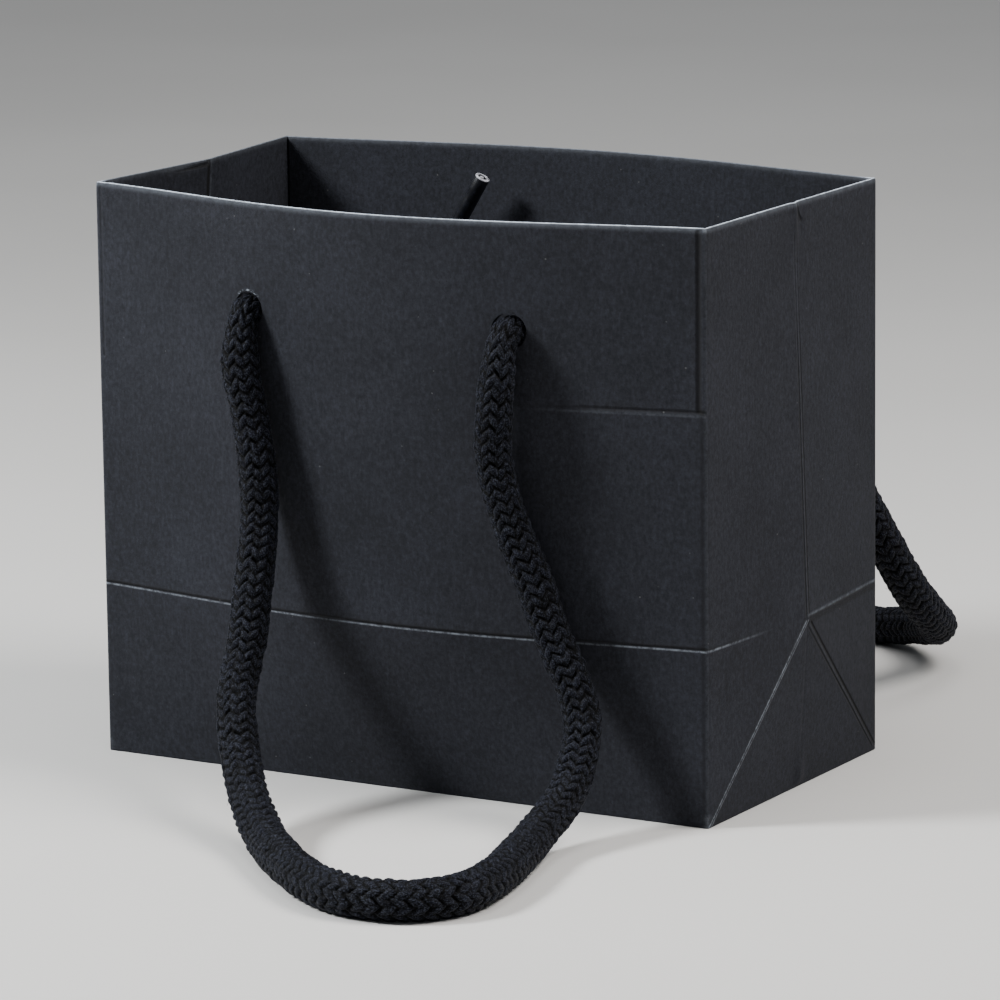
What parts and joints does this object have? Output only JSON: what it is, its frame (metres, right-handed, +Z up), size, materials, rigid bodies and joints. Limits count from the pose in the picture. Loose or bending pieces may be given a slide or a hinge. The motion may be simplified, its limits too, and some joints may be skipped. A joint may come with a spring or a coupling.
{
  "type": "gift bag",
  "caption": "Small wide paper gift bag with folded gussets, creased block bottom, stiffened mouth and braided rope handles held by toggle bars inside.",
  "frame": {"origin": "middle of the underside, on the surface that the bag stands on", "axes": "+X to the right along the wide front face, +Y from the front face to the back face, +Z up"},
  "size_m": [0.1356, 0.2388, 0.11],
  "materials": {
    "paper": "matt uncoated black paper",
    "card": "matt board",
    "rope": "braided polypropylene",
    "toggle": "satin"
  },
  "bodies": {
    "bag": {"front_panel": "paper", "back_panel": "paper", "right_gusset": "paper", "left_gusset": "paper", "bottom_flap_front": "paper", "bottom_flap_back": "paper", "bottom_tuck_right": "paper", "bottom_tuck_left": "paper", "side_seam": "paper", "turn_in_front": "paper", "turn_in_back": "paper", "turn_in_right": "paper", "turn_in_left": "paper", "card_front": "card", "card_back": "card", "front_rope_end_left": "rope", "front_rope_end_right": "rope", "back_rope_end_left": "rope", "back_rope_end_right": "rope"},
    "front_handle": {"front_handle_rope": "rope"},
    "back_handle": {"back_handle_rope": "rope"},
    "front_left_toggle": {"toggle_front_left": "toggle"},
    "front_right_toggle": {"toggle_front_right": "toggle"},
    "back_left_toggle": {"toggle_back_left": "toggle"},
    "back_right_toggle": {"toggle_back_right": "toggle"},
    "loose_board": {"base_board": "card"}
  },
  "joints": [
    {"name": "front_handle_swing", "type": "hinge", "parent": "bag", "child": "front_handle", "pos_m": [0.0015, -0.046, 0.09], "axis": [-1, 0, 0], "range_deg": [0, 150]},
    {"name": "back_handle_swing", "type": "hinge", "parent": "bag", "child": "back_handle", "pos_m": [-0.0015, 0.0445, 0.09], "axis": [1, 0, 0], "range_deg": [0, 150]},
    {"name": "front_left_toggle_swivel", "type": "hinge", "parent": "bag", "child": "front_left_toggle", "pos_m": [-0.026, -0.035, 0.09], "axis": [0, 1, 0], "range_deg": [-27, 63]},
    {"name": "front_right_toggle_swivel", "type": "hinge", "parent": "bag", "child": "front_right_toggle", "pos_m": [0.029, -0.035, 0.09], "axis": [0, 1, 0], "range_deg": [-69, 21]},
    {"name": "back_left_toggle_swivel", "type": "hinge", "parent": "bag", "child": "back_left_toggle", "pos_m": [-0.029, 0.034, 0.09], "axis": [0, 1, 0], "range_deg": [-76, 14]},
    {"name": "back_right_toggle_swivel", "type": "hinge", "parent": "bag", "child": "back_right_toggle", "pos_m": [0.026, 0.034, 0.09], "axis": [0, 1, 0], "range_deg": [-12, 78]},
    {"name": "board_lift", "type": "slide", "parent": "bag", "child": "loose_board", "axis": [0, 0, 1], "range_m": [0, 0.065]}
  ]
}
